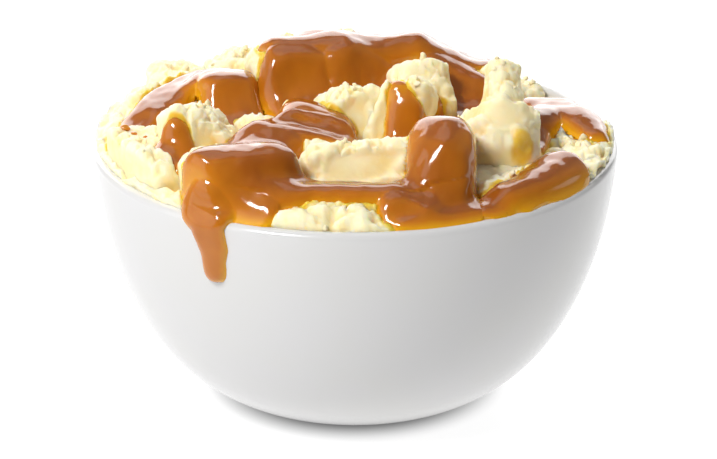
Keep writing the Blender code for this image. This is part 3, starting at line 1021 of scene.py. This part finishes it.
class PotatoStageSettings(bpy.types.PropertyGroup):
    elevation: Angle(
        name="Elevation", description="Height of the view", default=math.radians(21.86)
    )
    distance: Length(name="Distance", description="Camera to bowl", default=0.69)
    lens: Number(name="Lens", description="Focal length in millimetres", default=156.1)
    key: Number(name="Key", description="Strength of the light above", default=0.6)
    back: Number(name="Back", description="Strength of the light behind", default=10.0)
    side: Number(name="Side", description="Strength of the light at the left", default=1.45)
    front: Number(name="Front", description="Strength of the small light in front", default=6.0)
    glow: Number(name="Glow", description="Strength of the lit floor", default=0.88)
    sky: Number(name="Sky", description="Strength of the light all round", default=0.36)


GROUPS = {
    "potato_bowl": PotatoBowlSettings,
    "potato_mash": PotatoMashSettings,
    "potato_gravy": PotatoGravySettings,
    "potato_stage": PotatoStageSettings,
}


def potato_look(settings, name="mashed potato", soft=0.9, relief=0.2):
    """The potato's material of that name, made the first time that it is asked for."""
    colours = [tuple(colour) for colour in (settings.cream, settings.pale, settings.ochre)]
    return bpy.data.materials.get(name) or potato_material(name, *colours, soft, relief)


def gravy_look(settings):
    """The gravy's material, made the first time that it is asked for."""
    colours = [tuple(colour) for colour in (settings.thin, settings.middle, settings.thick)]
    return bpy.data.materials.get("brown gravy") or gravy_material(*colours)


def potato_points():
    """The points of all the potato made so far, in millimetres, with their normals and
    their crumb marks."""
    found = []
    for mesh in (made.data for made in bpy.data.objects if made.name.startswith("potato_")):
        place, normal, crumb = (np.empty(len(mesh.vertices) * n, np.float32) for n in (3, 3, 1))
        mesh.vertices.foreach_get("co", place)
        mesh.vertex_normals.foreach_get("vector", normal)
        mesh.attributes["crumb"].data.foreach_get("value", crumb)
        found.append(np.column_stack([place.reshape(-1, 3) * MM, normal.reshape(-1, 3), crumb]))
    found = np.concatenate(found)
    return found[:, :3].astype(float), found[:, 3:6], found[:, 6]


# ------------------------------------------------------------------ stage

# Each lamp's place, width and height in metres, and the setting that holds its strength.
LAMPS = {
    "above": ((-0.1, 0.15, 0.85), 0.5, 0.5, "key"),
    "behind": ((0.0, 0.9, 0.42), 1.5, 0.8, "back"),
    "left": ((-0.78, -0.36, 0.36), 0.7, 0.6, "side"),
    "front": ((-0.38, -0.46, 0.7), 0.2, 0.2, "front"),
}


def floor_made(glow, half=4.0):
    """A pale square floor that glows evenly, but hardly at all under the bowl's foot: a painted
    contact shadow.
    """
    shader = Shader(bpy.data.materials.new("white floor"))
    place = shader.place()
    colour = shader.mixed(shader.noise(place, 40, detail=1), *((v, v, v, 1) for v in (0.17, 0.18)))
    length = {"operation": "LENGTH"}
    from_middle = shader.out("ShaderNodeVectorMath", length, {0: place}, output="Value")
    # Painted contact shadow: the glow falls to a twentieth inside the foot's edge and is full again
    # beyond lit_from.
    foot_edge, lit_from, painted_shadow, full = 0.0235, 0.0355, (0.05, 0.05, 0.05, 1), (1, 1, 1, 1)
    lit = shader.mixed(from_middle.between(foot_edge, lit_from), painted_shadow, full)
    emission = {"Emission Color": lit, "Emission Strength": glow}
    shader.give(shader.surface, {"Base Color": colour, "Roughness": 0.6, **emission})
    mesh = bpy.data.meshes.new("floor")
    corners = [(-half, -half, 0), (half, -half, 0), (half, half, 0), (-half, half, 0)]
    mesh.from_pydata(corners, [], [(0, 1, 2, 3)])
    mesh.materials.append(shader.owner)
    return in_scene("floor", mesh)


def hang_lamps(settings):
    """Soft lamps that all face the middle of the bowl's rim."""
    middle = np.array([0, 0, RIM_HEIGHT / MM])
    for name, (place, width, height, strength) in LAMPS.items():
        light = bpy.data.lights.new(name, "AREA")
        light.shape, light.energy = "RECTANGLE", getattr(settings, strength)
        light.size, light.size_y = width, height
        lamp = in_scene(name, light)
        lamp.location = place
        lamp.rotation_euler = Vector(middle - place).to_track_quat("-Z", "Y").to_euler()


def sky_made(strength, least=0.12):
    """Light from all round, strongest from behind and above, where the way it comes from
    has the largest dot product with one direction, and down to a least share of that."""
    world = bpy.data.worlds.new("studio")
    shader = Shader(world, "ShaderNodeBackground", "ShaderNodeOutputWorld")
    way = shader.out("ShaderNodeTexCoord", output="Generated")
    product = {"operation": "DOT_PRODUCT"}
    brightest = {0: way, 1: (-0.35, 0.8, 0.48)}
    share = shader.out("ShaderNodeVectorMath", product, brightest, output="Value")
    sky = share.between(-0.75, 0.9, least * strength, strength)
    shader.give(shader.surface, {"Color": (1, 1, 1, 1), "Strength": sky})
    return world


def camera_made(settings):
    """A camera in front of the bowl, raised by the elevation, that looks at its upper half."""
    camera = bpy.data.cameras.new("camera")
    camera.lens, camera.sensor_width, camera.clip_start = settings.lens, 36, 0.01
    eye, tilt = in_scene("camera", camera), settings.elevation
    seen = np.array([0.0008, 0, 0.0357])
    eye.location = seen + settings.distance * np.array([0, -math.cos(tilt), math.sin(tilt)])
    eye.rotation_euler = (math.pi / 2 - tilt, 0, 0)
    return eye


# ------------------------------------------------------------------ operators


class POTATO_OT_bowl(bpy.types.Operator):
    """Turn the bowl"""

    bl_idname = "potato.bowl"
    bl_label = "Bowl"

    def execute(self, context):
        settings = context.scene.potato_bowl
        radius, height = bowl_profile(settings.wall * MM, settings.floor * MM)
        points = turned(radius, height, settings.columns)
        faces = ball_faces(len(radius) - 2, settings.columns)
        look = china_material(tuple(settings.glaze))
        new_piece("china_bowl", points, faces, look, ["bowl"])
        return {"FINISHED"}


class POTATO_OT_bed(bpy.types.Operator):
    """Lay the bed of potato that fills the bowl"""

    bl_idname = "potato.bed"
    bl_label = "Bed of potato"

    def execute(self, context):
        settings = context.scene.potato_mash
        wall, floor = context.scene.potato_bowl.wall * MM, context.scene.potato_bowl.floor * MM
        columns, rings, sides = 520, 110, 16
        into_wall, over_lip, least_radius = 0.7, 1.7, 6
        angle = np.linspace(0, 2 * np.pi, columns, endpoint=False)
        inside = inner_radius(RIM_HEIGHT - wall / 2, wall, floor) + into_wall
        edge = inside + over_lip * covered_rim(np.cos(angle), np.sin(angle))
        radius = edge * ((np.arange(rings) + 1) / rings)[:, None]
        x, y = radius * np.cos(angle), radius * np.sin(angle)
        top = np.stack([x, y, bed_height(x, y)], -1).reshape(-1, 3)
        stain, cover = soaked_at(top, "mash_bed", all_gravies(context))
        edge_share = np.full(len(top), 0.5)
        up = np.tile([0.0, 0.0, 1.0], (len(top), 1))
        top, crumb = torn(top, up, edge_share, cover, settings)
        top[-columns:] = kept_in_bowl(top[-columns:])
        base = floor + 0.5
        down = []
        for part in np.linspace(1, 0, sides + 1)[1:]:
            height = base + (top[-columns:, 2] - base) * part
            inner = np.minimum(inner_radius(height, wall, floor) + 0.4, inside)
            inner = np.maximum(inner, least_radius)
            down.append(np.stack([inner * np.cos(angle), inner * np.sin(angle), height], -1))
        points = np.concatenate([[[0, 0, BED_HIGH]], top, *down, [[0, 0, base]]])
        nothing = np.zeros(len(points) - len(top) - 1)
        marks = {
            "stain": np.concatenate([[0], stain, nothing]),
            "crumb": np.concatenate([[0], crumb, nothing]),
        }
        faces = ball_faces(rings + sides, columns)
        look = potato_look(settings)
        new_piece("potato_bed", points, faces, look, ["mash_bed"], marks)
        return {"FINISHED"}


class POTATO_OT_lumps(bpy.types.Operator):
    """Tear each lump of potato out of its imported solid"""

    bl_idname = "potato.lumps"
    bl_label = "Lumps of potato"

    def execute(self, context):
        settings = context.scene.potato_mash
        look = potato_look(settings)
        gravies = all_gravies(context)
        for node in LUMPS:
            if node in GROWN_TOGETHER.values():
                continue
            nodes = [node, GROWN_TOGETHER[node]] if node in GROWN_TOGETHER else [node]
            corners = np.array([corners_of(part) for part in nodes])
            size = corners[:, 1].max(0) - corners[:, 0].min(0)
            columns = int(np.clip(np.pi * size.max() / (settings.cell * MM), 90, 300))
            rows = columns // 2
            lumps = [Lump(part, settings.rounding * MM) for part in nodes]
            points, normal, edge = grown_together(lumps, ball(rows, columns))
            stain, cover = soaked_at(points, node, gravies)
            points, crumb = torn(points, normal, edge, cover, settings)
            points, faces = kept_in_bowl(points), ball_faces(rows, columns)
            name = "potato_" + node.removeprefix("lump_")
            marks = {"stain": stain, "crumb": crumb}
            new_piece(name, points, faces, look, nodes, marks)
        return {"FINISHED"}


class POTATO_OT_gravy(bpy.types.Operator):
    """Pour the gravy over its lumps"""

    bl_idname = "potato.gravy"
    bl_label = "Gravy"

    def execute(self, context):
        settings = context.scene.potato_gravy
        look = gravy_look(settings)
        cell, least_part, full_depth = settings.cell * MM, 150, 2.6
        for name, gravy in all_gravies(context).items():
            size = np.ceil((gravy.high - gravy.low) / cell).astype(int) + 1
            grid = np.stack(np.meshgrid(*(np.arange(n) for n in size), indexing="ij"), -1)
            field, _ = gravy.outside(gravy.low + cell * grid.reshape(-1, 3))
            field = field.reshape(size)
            for axis in range(3):
                np.moveaxis(field, axis, 0)[[0, -1]] = gravy.far
            points, quads = net(field, gravy.low, cell)
            points, quads = largest_parts(points, quads, least_part)
            points = settled(gravy, points, cell)
            _, thickness = gravy.outside(points)
            # Level gravy is marked deeper and so coloured darker: partly gravy that lies thicker on
            # level ground, partly painted shade that lets the reflection on level tops read grey.
            lies = ramp(level_share(points, quads), 0.7, 0.98)
            marks = {"depth": np.clip(thickness / full_depth + 0.45 * lies, 0, 1)}
            faces = quads, np.zeros((0, 3), int)
            new_piece("poured_" + name, points, faces, look, [name], marks)
        return {"FINISHED"}


class POTATO_OT_crumbs(bpy.types.Operator):
    """Scatter loose crumbs where the potato is torn"""

    bl_idname = "potato.crumbs"
    bl_label = "Loose crumbs"

    def execute(self, context):
        settings = context.scene.potato_mash
        rng, count = np.random.default_rng(7), settings.loose
        points, normal, crumb = potato_points()
        bare = np.ones(len(points), bool)
        for gravy in all_gravies(context).values():
            bare &= gravy.outside(points)[0] > 0.5
        choice = np.flatnonzero(bare & (crumb > 0.35) & (normal[:, 2] > 0.5))
        choice = rng.choice(choice, count, replace=False)
        round_one = ball(4, 7)
        smallest, more = 0.4, 0.6
        size = smallest + more * rng.uniform(size=(count, 1, 1)) ** 2
        shape = round_one * rng.uniform(0.7, 1.25, (count, 1, 3))
        shape = shape + 0.22 * rng.normal(size=(count, len(round_one), 1)) * round_one
        middle = points[choice] + 0.35 * size[:, :, 0] * normal[choice]
        every = (middle[:, None] + size * shape).reshape(-1, 3)
        marks = {"stain": np.zeros(len(every)), "crumb": np.full(len(every), 0.7)}
        faces = copies(ball_faces(4, 7), len(round_one), count)
        look = potato_look(settings, "potato crumbs", 0.1, 0.0)
        new_piece("loose_crumbs", every, faces, look, marks=marks)
        return {"FINISHED"}


class POTATO_OT_drops(bpy.types.Operator):
    """Spatter a few drops of gravy on the potato"""

    bl_idname = "potato.drops"
    bl_label = "Drops of gravy"

    def execute(self, context):
        points, _, _ = potato_points()
        rows, columns = 16, 28
        round_one = ball(rows, columns)
        every = []
        for x, y, width in DROPS:
            near = np.hypot(points[:, 0] - x, points[:, 1] - y) < 0.8
            middle = np.array([x, y, points[near, 2].max() - 0.15])
            grown = round_one * [width, 0.8 * width, 0.55 * width]
            uneven = 1 + 0.28 * swell(middle + 1.5 * round_one, 1.3, 41)
            every.append(middle + grown * uneven[:, None])
        every = np.concatenate(every)
        faces = copies(ball_faces(rows, columns), len(round_one), len(DROPS))
        look = gravy_look(context.scene.potato_gravy)
        marks = {"depth": np.full(len(every), 0.4)}
        new_piece("gravy_drops", every, faces, look, marks=marks)
        return {"FINISHED"}


class POTATO_OT_stage(bpy.types.Operator):
    """Set the floor, the soft lights and the camera"""

    bl_idname = "potato.stage"
    bl_label = "Floor, lights and camera"

    def execute(self, context):
        settings = context.scene.potato_stage
        floor = floor_made(settings.glow)
        hang_lamps(settings)
        context.scene.world = sky_made(settings.sky)
        context.scene.view_settings.view_transform = "Standard"
        context.scene.camera = camera_made(settings)
        return {"FINISHED"}


class POTATO_PT_panel(bpy.types.Panel):
    bl_label = "Bowl of Mashed Potato"
    bl_idname = "POTATO_PT_panel"
    bl_space_type = "VIEW_3D"
    bl_region_type = "UI"
    bl_category = "Potato"

    def draw(self, context):
        for operator in OPERATORS:
            self.layout.operator(operator.bl_idname)
        for name, group in GROUPS.items():
            box = self.layout.box()
            for key in group.__annotations__:
                box.prop(getattr(context.scene, name), key)


OPERATORS = (
    POTATO_OT_bowl,
    POTATO_OT_bed,
    POTATO_OT_lumps,
    POTATO_OT_gravy,
    POTATO_OT_crumbs,
    POTATO_OT_drops,
    POTATO_OT_stage,
)


def register():
    for cls in (*GROUPS.values(), *OPERATORS, POTATO_PT_panel):
        bpy.utils.register_class(cls)
    for name, group in GROUPS.items():
        setattr(bpy.types.Scene, name, bpy.props.PointerProperty(type=group))


def unregister():
    for name in GROUPS:
        delattr(bpy.types.Scene, name)
    for cls in reversed((*GROUPS.values(), *OPERATORS, POTATO_PT_panel)):
        bpy.utils.unregister_class(cls)


def main():
    register()
    bpy.ops.potato.bowl()
    bpy.ops.potato.bed()
    bpy.ops.potato.lumps()
    bpy.ops.potato.gravy()
    bpy.ops.potato.crumbs()
    bpy.ops.potato.drops()
    bpy.ops.potato.stage()


if __name__ == "__main__":
    main()
